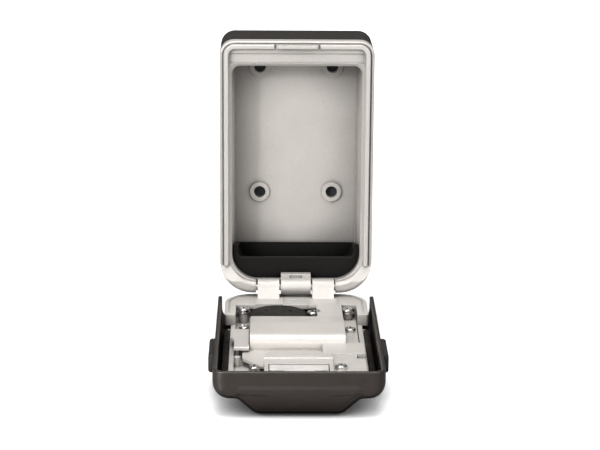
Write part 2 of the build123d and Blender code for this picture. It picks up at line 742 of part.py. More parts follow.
def dial_wheel(index):
    """A number wheel: ten shallow finger scallops around a ring."""
    x = wheel_centre(index)
    wheel = rod_x(WHEEL_RADIUS, x - WHEEL_WIDTH / 2, x + WHEEL_WIDTH / 2, WHEEL_Y, WHEEL_Z)
    wheel = chamfer(wheel.edges().filter_by(GeomType.CIRCLE), 0.5)
    wheel -= rod_x(WHEEL_BORE, x - WHEEL_WIDTH, x + WHEEL_WIDTH, WHEEL_Y, WHEEL_Z)
    bar = Pos(x, 0, WHEEL_RADIUS + 0.75) * Rot(0, 90, 0) * Cylinder(1.0, WHEEL_WIDTH + 1)
    for step in range(10):
        wheel -= Pos(0, WHEEL_Y, WHEEL_Z) * (Rot(36 * step + 18, 0, 0) * bar)
    return wheel


def dial_hub(index):
    """The hub inside a number wheel, with the notched cam disc that the fence reads."""
    x = wheel_centre(index)
    left = x - WHEEL_WIDTH / 2
    hub = rod_x(HUB_RADIUS, left, x + WHEEL_WIDTH / 2, WHEEL_Y, WHEEL_Z)
    cam = rod_x(CAM_RADIUS, left - CAM_THICKNESS - 0.1, left - 0.1, WHEEL_Y, WHEEL_Z)
    cam -= slab(left - 2, left, WHEEL_Y - 8, WHEEL_Y - 4.6, WHEEL_Z - 0.9, WHEEL_Z + 0.9)
    hub += cam + rod_x(HUB_RADIUS, left - 0.2, left, WHEEL_Y, WHEEL_Z)
    return hub - rod_x(SHAFT_RADIUS + PIN_CLEARANCE, left - 2, x + WHEEL_WIDTH, WHEEL_Y, WHEEL_Z)


def dial_shaft():
    """The steel shaft that the hubs turn on."""
    shaft = rod_x(SHAFT_RADIUS, -19.3, 19.3, WHEEL_Y, WHEEL_Z)
    return chamfer(shaft.edges().filter_by(GeomType.CIRCLE), 0.25)


def wheel_detent():
    """A comb of spring fingers that clicks into the wheels' scallops."""
    spine = slab(-14.5, 14.5, -50.0, -49.2, DOOR_FLOOR, -6.6)
    comb = spine
    for index in range(WHEELS):
        x = wheel_centre(index)
        comb += slab(x - 1.6, x + 1.6, -51.6, -49.8, -7.0, -6.6)
    return comb


def dial_bezel():
    """The frame on the door's face around the four wheels."""
    plan = Pos(0, WHEEL_Y) * RectangleRounded(33.6, 27.0, 3.0)
    bezel = plan_prism(plan, -16.4, DOOR_FRONT)
    rim = bezel.edges().filter_by_position(Axis.Z, -16.41, -16.39)
    bezel = fillet(rim, 1.2)
    bezel -= slab(-BEZEL_WINDOW, BEZEL_WINDOW, WHEEL_Y - 8.6, WHEEL_Y + 8.6, -18, -12)
    # Pointers on both sides of the window show the line on which the code is read.
    for side in (-1, 1):
        point = polygon((side * 14.8, WHEEL_Y), (side * 16.4, WHEEL_Y - 1.0), (side * 16.4, WHEEL_Y + 1.0))
        bezel -= plan_prism(point, -17, -15.9)
    return bezel


# ---- latch ----
def latch_bolt():
    """The bolt: the bar in the frame, its nose, and the strip back to the wheels."""
    bolt = slab(-12.3, 12.3, BAR_NEAR, BAR_FAR, BAR_UNDER, BAR_TOP)
    bolt += slab(-NOSE_HALF_WIDTH, NOSE_HALF_WIDTH, NOSE_END, BAR_FAR, BAR_UNDER, BAR_TOP)
    nose = bolt.edges().filter_by(Axis.X).sort_by(Axis.Y)[:2]
    bolt = chamfer(nose, 0.25)
    bolt += slab(-9.0, 9.0, BAR_NEAR + 1.0, BAR_FAR - 0.2, -10.3, BAR_UNDER)
    strip = slab(-9.0, 9.0, BAR_FAR - 2.0, -70.5, -10.3, -9.1)
    strip -= slab(-2.7, 2.7, -88.2, -69.0, -11, -8)
    return bolt + strip


def fence_bar():
    """The cross bar that reads the four cam discs."""
    bar = slab(-14.6, 14.6, -70.4, -69.2, -10.3, -8.9)
    for index in range(WHEELS):
        cam_x = wheel_centre(index) - WHEEL_WIDTH / 2 - 0.1 - CAM_THICKNESS / 2
        bar += slab(cam_x - 0.25, cam_x + 0.25, -69.3, WHEEL_Y - CAM_RADIUS - 0.1, -10.3, -9.3)
    return bar


def latch_spring():
    """The coil spring that throws the bolt."""
    length = 10.4
    turns = 6
    path = Helix(pitch=length / turns, height=length, radius=1.05)
    coil = sweep(Plane(path @ 0, z_dir=path % 0) * Circle(0.22), path=path)
    return Pos(0, -77.7, -8.75) * Rot(90, 0, 0) * coil


def release_lever():
    """The thumb lever on the door's face and its stem to the bolt."""
    plan = Pos(0, -95.5) * RectangleRounded(17.0, 14.0, 2.5)
    lever = plan_prism(plan, -16.0, DOOR_FRONT - 0.2)
    rim = lever.edges().filter_by_position(Axis.Z, -16.01, -15.99)
    lever = fillet(rim, 1.0)
    for step in range(4):
        lever -= slab(-6.5, 6.5, -99.5 + 2.4 * step, -98.7 + 2.4 * step, -17, -15.5)
    return lever + slab(-2.6, 2.6, -97.4, -92.8, DOOR_FRONT - 0.3, -10.35)


def change_lever():
    """The lever that frees the wheels from their hubs to set a new combination."""
    plan = polygon(
        (-29.4, -50.3),
        (-21.0, -50.3),
        (-21.0, -76.3),
        (-27.6, -76.3),
        (-27.6, -64.0),
        (-29.4, -62.2),
    )
    lever = plan_prism(plan, -6.0, -4.5)
    top = lever.edges().filter_by_position(Axis.Z, -4.51, -4.49)
    return chamfer(top, 0.3)


# ---- weather cover ----
def cover_section(inset, open_top):
    """Cross-section of the weather cover (X, Z): wings, round corners and the front bulge."""
    out = COVER_OUT - inset
    low = COVER_FRONT + inset
    deep = BULGE_DEPTH + inset
    base = BULGE_BASE - 0.41 * inset
    top = BULGE_TOP - 0.41 * inset
    right = [(out, open_top), (out, low), (base, low), (top, deep)]
    left = [(-x, z) for x, z in reversed(right)]
    section = polygon(*right, *left)
    rounds = [(out, low, COVER_CORNER - inset), (base, low, 3.0 + inset), (top, deep, 6.0 - inset)]
    for x, z, radius in rounds:
        corners = section.vertices().filter_by(lambda v: abs(abs(v.X) - x) < 0.01 and abs(v.Y - z) < 0.01)
        section = fillet(corners, radius)
    return section


def weather_cover():
    """The black cover that wraps the door: front sheet, two wings and an end wall."""
    outer = front_prism(cover_section(0, COVER_RIM), COVER_FAR_END, COVER_TIP)
    hollow = cover_section(COVER_SHEET, COVER_RIM + 1)
    cover = outer - front_prism(hollow, COVER_FAR_END + COVER_END_WALL, COVER_TIP + 1)
    # The wings reach further towards the hinge than the front sheet.
    side = COVER_IN - 0.2
    mouth = polygon(
        (-side, COVER_TIP + 1),
        (side, COVER_TIP + 1),
        (side, -15),
        (30, -19),
        (-30, -19),
        (-side, -15),
    )
    cover -= plan_prism(mouth, -30, -9)
    # Hooked runners on the inside of the front sheet.
    runner = slab(31.3, 32.5, -112.0, -40.0, COVER_FRONT + 1.5, -8.2)
    runner += slab(29.9, 32.5, -112.0, -40.0, -9.5, -8.2)
    return cover + both_sides(runner)


def cover_grip(side):
    """A ribbed finger grip on the outside of a wing."""
    pad = slab(COVER_OUT, COVER_OUT + 1.6, -94.0, -71.0, -10.0, -2.2)
    ribs = []
    for step in range(7):
        y = -93.6 + 3.3 * step
        ribs.append(slab(COVER_OUT + 1.4, COVER_OUT + 2.3, y, y + 1.8, -9.8, -2.4))
    grip = pad + ribs
    return grip if side > 0 else mirror(grip, about=Plane.YZ)


# ---- build every node and write it ----
NODES = {
    "body_housing": body_housing,
    "rear_jacket": rear_jacket,
    "jacket_screws": jacket_screws,
    "key_tray": key_tray,
    "strike_plate": strike_plate,
    "hinge_pin": hinge_pin,
    "door_shell": door_shell,
    "mechanism_cover": mechanism_cover,
    "cover_screws": cover_screws,
    "post_washers": post_washers,
    "battery_cap": battery_cap,
    "coin_cell": coin_cell,
    "battery_contact": battery_contact,
    "light_board": light_board,
    "dial_lamps": dial_lamps,
    "light_button": light_button,
    "dial_shaft": dial_shaft,
    "wheel_detent": wheel_detent,
    "dial_bezel": dial_bezel,
    "latch_bolt": latch_bolt,
    "fence_bar": fence_bar,
    "latch_spring": latch_spring,
    "release_lever": release_lever,
    "change_lever": change_lever,
    "weather_cover": weather_cover,
}


def write_node(name, shape):
    """Move a finished node from the hinge frame to the wall frame and save it."""
    placed = Pos(0, -BODY_DEPTH, -BODY_MID) * shape
    export_step(placed, os.path.join("parts", name + ".step"))


os.makedirs("parts", exist_ok=True)
for node_name, build_node in NODES.items():
    write_node(node_name, build_node())
for number in range(WHEELS):
    write_node("dial_wheel_" + str(number + 1), dial_wheel(number))
    write_node("dial_hub_" + str(number + 1), dial_hub(number))
write_node("cover_grip_left", cover_grip(-1))
write_node("cover_grip_right", cover_grip(1))
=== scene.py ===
import json
import math

import bmesh
import bpy
from mathutils import Matrix, Vector


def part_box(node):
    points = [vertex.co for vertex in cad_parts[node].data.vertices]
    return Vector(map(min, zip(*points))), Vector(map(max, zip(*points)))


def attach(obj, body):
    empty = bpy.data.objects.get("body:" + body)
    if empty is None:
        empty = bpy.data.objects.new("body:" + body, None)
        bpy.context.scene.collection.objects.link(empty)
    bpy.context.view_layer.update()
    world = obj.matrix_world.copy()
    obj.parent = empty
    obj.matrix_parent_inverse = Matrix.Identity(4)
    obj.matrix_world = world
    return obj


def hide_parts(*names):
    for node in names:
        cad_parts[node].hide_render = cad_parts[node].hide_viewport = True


# Looks for a wall-mounted key lock box, shown with its door open. The CAD nodes give the
# shapes. This script adds materials, lights, the camera, and finer meshes for the weather
# cover, its grips and the numbers on the wheels. Lengths are in metres, written as so many MM.
# Points named after the hinge are measured from the middle of the hinge axis.

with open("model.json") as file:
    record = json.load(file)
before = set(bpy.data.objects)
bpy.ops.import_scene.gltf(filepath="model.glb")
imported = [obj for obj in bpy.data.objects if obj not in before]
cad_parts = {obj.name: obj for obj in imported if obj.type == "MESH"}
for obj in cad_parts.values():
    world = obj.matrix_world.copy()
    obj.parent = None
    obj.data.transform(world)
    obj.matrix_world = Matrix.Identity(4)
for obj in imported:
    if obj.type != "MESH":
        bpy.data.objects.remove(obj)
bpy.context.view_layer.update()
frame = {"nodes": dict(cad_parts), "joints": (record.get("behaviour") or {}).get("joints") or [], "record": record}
MM = 0.001

JOINTS = {joint["name"]: joint for joint in frame["joints"]}
HINGE = Vector(JOINTS["door_hinge"]["pos_m"])


def hinge_point(x, y, z):
    """A point given in millimetres from the middle of the hinge axis, in the row frame."""
    return HINGE + Vector((x, y, z)) * MM


# ---- mesh helpers ----
def mesh_object(name, mesh_data):
    """A new object in the scene around a finished bmesh."""
    mesh = bpy.data.meshes.new(name)
    mesh_data.normal_update()
    mesh_data.to_mesh(mesh)
    mesh_data.free()
    piece = bpy.data.objects.new(name, mesh)
    bpy.context.scene.collection.objects.link(piece)
    return piece


def shade_smooth(piece, angle):
    """Smooth shading everywhere except across edges sharper than the angle, in degrees."""
    mesh = piece.data
    mesh.shade_smooth()
    mesh.set_sharp_from_angle(angle=math.radians(angle))


def arc_corner(before, corner, after, radius, steps):
    """Points of the round that replaces a corner between two neighbours, all (u, v) pairs."""
    corner = Vector(corner)
    to_before = (Vector(before) - corner).normalized()
    to_after = (Vector(after) - corner).normalized()
    half = to_before.angle(to_after) / 2
    reach = radius / math.tan(half)
    centre = corner + (to_before + to_after).normalized() * radius / math.sin(half)
    start = corner + to_before * reach - centre
    end = corner + to_after * reach - centre
    sweep = start.angle(end)
    points = []
    for step in range(steps + 1):
        t = step / steps
        share_start = math.sin((1 - t) * sweep) / math.sin(sweep)
        share_end = math.sin(t * sweep) / math.sin(sweep)
        points.append(centre + start * share_start + end * share_end)
    return points


# ---- material helpers ----
class Shader:
    """A short way to write a node tree: every call adds one node and links its inputs."""

    def __init__(self, name):
        self.material = bpy.data.materials.new(name)
        self.material.use_nodes = True
        self.tree = self.material.node_tree
        self.tree.nodes.clear()
        coordinates = self.tree.nodes.new("ShaderNodeTexCoord")
        self.position = coordinates.outputs["Object"]

    def add(self, kind, inputs=None, output=0, **settings):
        """Add a node, set or link its inputs by name or number, and return one output."""
        made = self.tree.nodes.new(kind)
        for key, value in settings.items():
            setattr(made, key, value)
        for key, value in (inputs or {}).items():
            socket = made.inputs[key]
            if isinstance(value, bpy.types.NodeSocket):
                self.tree.links.new(value, socket)
            else:
                socket.default_value = value
        return made.outputs[output]

    def noise(self, scale, detail=3.0, stretch=None, roughness=0.5):
        """Noise with features about 1/scale metres wide, stretched by a vector if given."""
        where = self.position
        if stretch:
            where = self.add("ShaderNodeMapping", {"Vector": where, "Scale": stretch})
        inputs = {"Vector": where, "Scale": scale, "Detail": detail, "Roughness": roughness}
        return self.add("ShaderNodeTexNoise", inputs)

    def ramp(self, value, low, high, to_low=0.0, to_high=1.0):
        """A value mapped from one range to another, held inside the range."""
        inputs = {"Value": value, 1: low, 2: high, 3: to_low, 4: to_high}
        return self.add("ShaderNodeMapRange", inputs)

    def math(self, operation, first, second):
        """One arithmetic step."""
        return self.add("ShaderNodeMath", {0: first, 1: second}, operation=operation)

    def mix(self, share, first, second):
        """A colour between two colours."""
        inputs = {0: share, 6: first, 7: second}
        return self.add("ShaderNodeMix", inputs, output=2, data_type="RGBA")

    def rounded_normal(self, radius):
        """The surface normal with its sharp edges rounded off at render time."""
        return self.add("ShaderNodeBevel", {"Radius": radius}, samples=4)

    def edge_mask(self, rounded, sharpness):
        """Near one on convex and concave edges, near zero on flat faces."""
        true_normal = self.add("ShaderNodeNewGeometry", output=1)
        inputs = {0: rounded, 1: true_normal}
        likeness = self.add("ShaderNodeVectorMath", inputs, output=1, operation="DOT_PRODUCT")
        return self.ramp(likeness, 1.0 - sharpness, 1.0, 1.0, 0.0)

    def crevice(self, distance):
        """One in the open, falling towards zero in narrow gaps."""
        return self.add("ShaderNodeAmbientOcclusion", {"Distance": distance}, output=1, samples=6)

    def bump(self, height, strength, distance, normal=None):
        """A normal disturbed by a height value."""
        inputs = {"Height": height, "Strength": strength, "Distance": distance}
        if normal is not None:
            inputs["Normal"] = normal
        return self.add("ShaderNodeBump", inputs)

    def surface(self, **inputs):
        """The principled surface and the material's output."""
        named = {key.replace("_", " "): value for key, value in inputs.items()}
        shader = self.add("ShaderNodeBsdfPrincipled", named)
        self.add_output(shader)
        return self.material

    def add_output(self, shader):
        output = self.tree.nodes.new("ShaderNodeOutputMaterial")
        self.tree.links.new(shader, output.inputs["Surface"])


def grey(level):
    """A neutral colour."""
    return (level, level, level, 1.0)


CAST_ROUND = 0.30 * MM
# Reach of the painted shade in narrow gaps, and of the painted shade deep in hollows.
CAST_SEAM = 2.2 * MM
CAST_HOLLOW = 26.0 * MM
FLAKE_SCALE = 5200.0
WORN_PAINT = (0.93, 0.915, 0.89, 1)


def cast_paint(name, colour, roughness, grain, seam_shade=0.68, hollow=None):
    """Silver paint over die-cast metal: fine flakes, a slight orange peel, bright worn edges.

    seam_shade is how dark the painted shade in narrow gaps gets. The hollow values paint shade deep inside
    a cavity, where little light gets in: the openness where the shade is full, the openness where it
    ends, and how dark it gets."""
    s = Shader(name)
    rounded = s.rounded_normal(CAST_ROUND)
    edges = s.edge_mask(rounded, 0.16)
    where = {"Vector": s.position, "Scale": FLAKE_SCALE}
    flakes = s.add("ShaderNodeTexVoronoi", where, output=1)
    flake_value = s.add("ShaderNodeSeparateColor", {0: flakes})
    cloud = s.noise(90.0, 4.0)
    tone = s.ramp(cloud, 0.3, 0.7, 0.965, 1.02)
    sparkle = s.ramp(flake_value, 0.0, 1.0, 0.93, 1.07)
    shade = s.math("MULTIPLY", tone, sparkle)
    # Painted shade: the paint darkens in narrow gaps, where little light reaches.
    gap_shade = s.ramp(s.crevice(CAST_SEAM), 0.2, 0.8, seam_shade, 1.0)
    shade = s.math("MULTIPLY", shade, gap_shade)
    # Painted shade: deep inside a cavity the paint darkens, where little light gets in.
    if hollow:
        full, end, darkest = hollow
        dust_and_painted_shade = s.ramp(s.crevice(CAST_HOLLOW), full, end, darkest, 1.0)
        shade = s.math("MULTIPLY", shade, dust_and_painted_shade)
    worn = s.math("MULTIPLY", edges, s.ramp(s.noise(650.0, 3.0), 0.35, 0.65, 0.35, 1.0))
    base = s.add("ShaderNodeVectorMath", {0: colour[:3], "Scale": shade}, operation="SCALE")
    paint = s.mix(worn, base, WORN_PAINT)
    peel = s.math("ADD", s.noise(1300.0, 2.0), s.math("MULTIPLY", s.noise(grain, 2.0), 0.6))
    normal = s.bump(peel, 0.16, 0.05 * MM, rounded)
    gloss = s.ramp(s.noise(300.0, 3.0), 0.3, 0.7, roughness - 0.04, roughness + 0.05)
    return s.surface(
        Base_Color=paint,
        Metallic=0.25,
        Roughness=gloss,
        Normal=normal,
        Coat_Weight=0.15,
        Coat_Roughness=0.25,
    )


PLASTIC_ROUND = 0.28 * MM


def moulded_plastic(name, colour, roughness, grain, depth=0.03, shine=0.45, reach=14.0):
    """Black or grey moulded plastic: spark-eroded grain, soft sheen, and edges lightened by wear
    and by a painted highlight.

    depth is the grain's depth and reach the width of hollow that gets painted shade and duller
    reflections, both in millimetres. shine is the strength of the reflections in the open."""
    s = Shader(name)
    rounded = s.rounded_normal(PLASTIC_ROUND)
    edges = s.edge_mask(rounded, 0.2)
    cloud = s.ramp(s.noise(60.0, 4.0), 0.3, 0.7, 0.95, 1.05)
    # Painted shade: the plastic darkens in hollows, where little light gets in.
    hollow = s.ramp(s.crevice(reach * MM), 0.25, 0.68, 0.15, 1.0)
    shade = s.math("MULTIPLY", cloud, hollow)
    base = s.add("ShaderNodeVectorMath", {0: colour[:3], "Scale": shade}, operation="SCALE")
    # Lighter edges: partly wear from rubbing, partly a painted highlight, which fades in the painted shade of
    # hollows.
    rubbed_and_highlit = s.math("MULTIPLY", edges, s.ramp(s.noise(420.0, 4.0), 0.4, 0.65, 0.05, 0.6))
    rubbed_and_highlit = s.math("MULTIPLY", rubbed_and_highlit, hollow)
    lighter = [part * 2.4 + 0.02 for part in colour] + [1.0]
    skin = s.mix(rubbed_and_highlit, base, lighter)
    grit = s.math("ADD", s.noise(grain, 2.0), s.math("MULTIPLY", s.noise(grain / 3.1, 2.0), 0.7))
    normal = s.bump(grit, 0.22, depth * MM, rounded)
    gloss = s.ramp(s.noise(220.0, 3.0), 0.3, 0.7, roughness - 0.05, roughness + 0.06)
    sheen = s.math("MULTIPLY", hollow, shine)
    return s.surface(Base_Color=skin, Roughness=gloss, Normal=normal, Specular_IOR_Level=sheen)


def plated_steel(name, colour, roughness, stretch=(1, 1, 1), metal=1.0):
    """Bright plated or brushed metal: fine lines along the stretch and a little tarnish.

    metal is one for bare metal and less for a dull, milky plating."""
    s = Shader(name)
    rounded = s.rounded_normal(0.12 * MM)
    lines = s.noise(2500.0, 4.0, stretch)
    tarnish = s.ramp(s.noise(260.0, 4.0), 0.35, 0.7, 0.82, 1.0)
    # Painted shade: the metal darkens in the narrow gaps around it.
    gap_shade = s.ramp(s.crevice(0.8 * MM), 0.2, 0.8, 0.35, 1.0)
    shade = s.math("MULTIPLY", tarnish, gap_shade)
    base = s.add("ShaderNodeVectorMath", {0: colour[:3], "Scale": shade}, operation="SCALE")
    normal = s.bump(lines, 0.12, 0.02 * MM, rounded)
    gloss = s.ramp(lines, 0.3, 0.7, roughness - 0.05, roughness + 0.08)
    return s.surface(Base_Color=base, Metallic=metal, Roughness=gloss, Normal=normal)


def rubber(name):
    """Dull black rubber with a fine dusty surface."""
    s = Shader(name)
    rounded = s.rounded_normal(0.15 * MM)
    dust_and_painted_shade = s.ramp(s.noise(700.0, 4.0), 0.45, 0.75, 0.0, 0.35)
    base = s.mix(dust_and_painted_shade, (0.012, 0.011, 0.010, 1), (0.06, 0.056, 0.052, 1))
    normal = s.bump(s.noise(3200.0, 2.0), 0.3, 0.03 * MM, rounded)
    return s.surface(Base_Color=base, Roughness=0.62, Normal=normal, Specular_IOR_Level=0.35)


def circuit_board(name):
    """Green solder mask with copper tracks showing faintly through it."""
    s = Shader(name)
    where = s.add("ShaderNodeMapping", {"Vector": s.position, "Scale": (700.0, 700.0, 700.0)})
    tracks = s.add("ShaderNodeTexBrick", {"Vector": where, "Scale": 1.0}, output=1)
    base = s.mix(tracks, (0.012, 0.10, 0.035, 1), (0.03, 0.20, 0.07, 1))
    normal = s.bump(tracks, 0.2, 0.02 * MM, s.rounded_normal(0.1 * MM))
    return s.surface(Base_Color=base, Roughness=0.3, Normal=normal)


def clear_lamp(name):
    """Water-clear lamp resin with a warm core."""
    s = Shader(name)
    base = s.mix(s.noise(900.0), (0.95, 0.93, 0.85, 1), (0.85, 0.82, 0.7, 1))
    normal = s.rounded_normal(0.3 * MM)
    return s.surface(Base_Color=base, Roughness=0.12, Normal=normal, Transmission_Weight=0.6)


def ink(name):
    """Slightly worn white ink for the numbers."""
    s = Shader(name)
    wear = s.ramp(s.noise(1500.0, 4.0), 0.35, 0.6, 0.6, 1.0)
    base = s.add("ShaderNodeVectorMath", {0: (0.86, 0.85, 0.82), "Scale": wear}, operation="SCALE")
    return s.surface(Base_Color=base, Roughness=0.45)


CAST_COLOUR = (0.63, 0.60, 0.567)
MATERIALS = {
    "cast_silver": cast_paint(
        "cast_silver", CAST_COLOUR, 0.46, 4200.0, hollow=(0.35, 0.8, 0.34)
    ),
    # The cover's paint gets deeper painted shade in its narrow gaps.
    "cover_silver": cast_paint("cover_silver", (0.62, 0.59, 0.557), 0.42, 5200.0, 0.3),
    "jacket_black": moulded_plastic("jacket_black", (0.019, 0.0155, 0.013), 0.45, 3800.0),
    "cover_black": moulded_plastic(
        "cover_black", (0.025, 0.0192, 0.0162), 0.34, 4600.0, depth=0.02, shine=0.6, reach=24.0
    ),
    "tray_black": moulded_plastic("tray_black", (0.0045, 0.0042, 0.0036), 0.55, 3000.0, shine=0.2),
    "grip_black": rubber("grip_black"),
    "steel_bright": plated_steel("steel_bright", (0.78, 0.77, 0.75), 0.16),
    "steel_brushed": plated_steel("steel_brushed", (0.66, 0.65, 0.63), 0.28, (0.05, 1, 1)),
    "brass": plated_steel("brass", (0.72, 0.50, 0.22), 0.25),
    "cap_black": moulded_plastic("cap_black", (0.013, 0.0112, 0.0095), 0.55, 3400.0, shine=0.2),
    "board_green": circuit_board("board_green"),
    "lamp_clear": clear_lamp("lamp_clear"),
    "wheel_black": moulded_plastic("wheel_black", (0.018, 0.018, 0.019), 0.26, 5200.0, 0.01),
    "bezel_black": moulded_plastic("bezel_black", (0.022, 0.022, 0.023), 0.24, 5200.0, 0.01),
    "button_grey": moulded_plastic("button_grey", (0.32, 0.32, 0.315), 0.4, 3600.0),
    "digit_ink": ink("digit_ink"),
}

# The door's casting is shallow, so the painted shade in its hollows stays lighter than in the key
# space. The bolt's plating is duller than the screws'.
NODE_MATERIALS = {
    "door_shell": cast_paint(
        "cast_silver_door", CAST_COLOUR, 0.5, 4200.0, hollow=(0.15, 0.55, 0.4)
    ),
    "latch_bolt": plated_steel("steel_bright_bolt", (0.9, 0.87, 0.845), 0.4, metal=0.35),
}

# A darker copy of the cover's black plastic for the runners: painted shade deep inside the cover.
RUNNER_SHADED_PLASTIC = moulded_plastic("runner_black_shaded", (0.008, 0.0065, 0.0056), 0.5, 4600.0, shine=0.15)


def paint_nodes():
    """Give every CAD node the material of its slot in the record, or its own from NODE_MATERIALS."""
    for part in frame["record"]["subparts"]:
        node = frame["nodes"][part["node"]]
        node.data.materials.clear()
        paint = NODE_MATERIALS.get(part["node"], MATERIALS[part["material_slot"]])
        node.data.materials.append(paint)


# ---- weather cover ----
# The cover's section is a tray with wings at its sides and a bulge in its face. Its face looks
# down while the door lies open, so the rim is at the top and the bulge at the bottom.
COVER_LOW, COVER_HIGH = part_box("weather_cover")
COVER_HALF = COVER_HIGH.x
COVER_FRONT = HINGE.z - 14.4 * MM
COVER_SHEET = 1.8 * MM
COVER_WALL = 2.0 * MM
FACE_SLOPE = 0.1 * MM
BULGE_BASE = 25.6 * MM
BULGE_TOP = 18.2 * MM
FLANK_OFFSET = 0.41
WING_ROUND = 7.0 * MM
BULGE_BASE_ROUND = 3.0 * MM
BULGE_TOP_ROUND = 6.0 * MM
SIDE_ROUND = 5.2 * MM
FOOT_ROUND = 2.8 * MM
RIM_ROUND = 0.35 * MM
RIM_ANGLE = 50
ARC_STEPS = 8
WALL_LEVELS = (0.0, 0.12, 0.3, 0.45, 0.54, 0.58, 0.62, 0.66, 0.8)
RING_SPOTS = (0.0, 0.04, 0.3, 0.65, 1.0)

# The open end is cut back between the wings.
SHEET_START = 10.0 * MM
WING_INSIDE = 27.0 * MM
WING_OUTSIDE = 33.5 * MM

# The end wall has a panel that stands proud below a soft crease.
END_COLUMNS = 72
CREASE_Z = HINGE.z - 8.2 * MM
PANEL_HALF = 26.2 * MM
PANEL_STEP = 0.22 * MM
PANEL_LEAN = 2.2 * MM
CREASE_ABOVE = 0.1 * MM
CREASE_BELOW = 0.6 * MM
PANEL_SIDE_FADE = 2.2 * MM
PANEL_FLANK_START = 0.2
PANEL_FOOT_GAP = 0.1 * MM
PANEL_FOOT_FADE = 1.4 * MM


def smooth_share(value, low, high):
    """Zero below the low value, one above the high value, and a soft step between."""
    share = min(max((value - low) / (high - low), 0.0), 1.0)
    return share * share * (3 - 2 * share)


def cover_half_section(inset):
    """The right half of the cover's section (x, z), from the rim down to the middle."""
    rim = COVER_HIGH.z
    front = COVER_FRONT + inset
    rim_corner = (COVER_HALF - inset, rim)
    wing_corner = (COVER_HALF - inset, front + FACE_SLOPE)
    base_corner = (BULGE_BASE - FLANK_OFFSET * inset, front - FACE_SLOPE)
    top_corner = (BULGE_TOP - FLANK_OFFSET * inset, COVER_LOW.z + inset)
    middle = (0, COVER_LOW.z + inset)
    corners = [
        (rim_corner, wing_corner, base_corner, WING_ROUND - inset),
        (wing_corner, base_corner, top_corner, BULGE_BASE_ROUND + inset),
        (base_corner, top_corner, middle, BULGE_TOP_ROUND - inset),
    ]
    rounds = []
    for before, corner, after, radius in corners:
        rounds += arc_corner(before, corner, after, radius, ARC_STEPS)
    drop = rounds[0].y - rim
    wall = [Vector((COVER_HALF - inset, rim + drop * level)) for level in WALL_LEVELS]
    return wall + rounds


def rounded_section(side_inset, foot_inset):
    """The section set in by one amount at the wings' sides and by another everywhere else."""
    points = []
    for side, foot in zip(cover_half_section(side_inset), cover_half_section(foot_inset)):
        share = smooth_share(foot.y, COVER_FRONT + foot_inset, COVER_FRONT + WING_ROUND)
        points.append(Vector((foot.x + (side.x - foot.x) * share, foot.y)))
    return points


def cover_start(point):
    """How far from the wing tips the cover's skin starts: the wings reach further forward."""
    wing = smooth_share(abs(point.x), WING_INSIDE, WING_OUTSIDE)
    return COVER_HIGH.y - SHEET_START * (1 - wing)


def wall_lean(z):
    """How far the end wall leans back: nothing above the crease, most at the foot."""
    depth = max(CREASE_Z - z, 0.0) / (CREASE_Z - COVER_LOW.z)
    return PANEL_LEAN * depth * depth


def cover_skin(cover, inset, end_y):
    """One skin of the cover as rings of vertices from the open end to the end wall."""
    rings = []
    side_round = SIDE_ROUND - inset
    foot_round = FOOT_ROUND - inset
    for spot in RING_SPOTS:
        ring = []
        for point in cover_half_section(inset):
            start = cover_start(point)
            end = end_y + side_round + wall_lean(point.y)
            ring.append((point.x, start + (end - start) * spot, point.y))
        rings.append(ring)
    for step in range(1, ARC_STEPS + 1):
        turn = math.pi / 2 * step / ARC_STEPS
        closing = 1 - math.cos(turn)
        section = rounded_section(inset + side_round * closing, inset + foot_round * closing)
        y = end_y + side_round * (1 - math.sin(turn))
        rings.append([(point.x, y + wall_lean(point.y), point.y) for point in section])
    made = []
    for ring in rings:
        right = [cover.verts.new(place) for place in ring]
        left = [cover.verts.new((-x, y, z)) for x, y, z in reversed(ring)]
        made.append(right + left)
    return made


def join_rings(cover, rings):
    """Quads between neighbouring rings."""
    for first, second in zip(rings, rings[1:]):
        for index in range(len(first) - 1):
            corners = [first[index], first[index + 1], second[index + 1], second[index]]
            cover.faces.new(corners)


def close_end(cover, ring, relief):
    """Horizontal strips across the end wall, moved forward where the relief function says."""
    rows = []
    for index in range(len(ring) // 2):
        right = ring[index]
        left = ring[-1 - index]
        half = right.co.x
        row = [right]
        for column in range(1, END_COLUMNS):
            place = right.co.lerp(left.co, column / END_COLUMNS)
            place.y -= relief(place.x, place.z, half)
            row.append(cover.verts.new(place))
        row.append(left)
        rows.append(row)
    for first, second in zip(rows, rows[1:]):
        for column in range(END_COLUMNS):
            corners = [first[column], first[column + 1], second[column + 1], second[column]]
            cover.faces.new(corners)
    return rows


def panel_relief(x, z, half):
    """The lower panel of the end wall stands a little proud, below a soft crease."""
    below = smooth_share(CREASE_Z - z, -CREASE_ABOVE, CREASE_BELOW)
    edge = min(PANEL_HALF, half)
    inside = smooth_share(edge - abs(x), 0.0, PANEL_SIDE_FADE)
    flank = (abs(x) - BULGE_TOP) / (BULGE_BASE - BULGE_TOP) + PANEL_FLANK_START
    foot = COVER_LOW.z + FOOT_ROUND + min(max(flank, 0.0), 1.0) * (COVER_FRONT - COVER_LOW.z)
    above_foot = smooth_share(z - foot, PANEL_FOOT_GAP, PANEL_FOOT_FADE)
    return PANEL_STEP * below * inside * above_foot


def no_relief(x, z, half):
    """A plain wall."""
    return 0.0


def close_rims(cover, outer, inner, outer_rows, inner_rows):
    """The open end's rim, and the top edge along the wings and the end wall."""
    for index in range(len(outer[0]) - 1):
        outside = [outer[0][index], outer[0][index + 1]]
        inside = [inner[0][index + 1], inner[0][index]]
        cover.faces.new(inside + outside)
    for step in range(len(outer) - 1):
        for side in (0, -1):
            outside = [outer[step][side], outer[step + 1][side]]
            inside = [inner[step + 1][side], inner[step][side]]
            cover.faces.new(outside + inside)
    for column in range(END_COLUMNS):
        outside = [outer_rows[0][column], outer_rows[0][column + 1]]
        inside = [inner_rows[0][column + 1], inner_rows[0][column]]
        cover.faces.new(outside + inside)


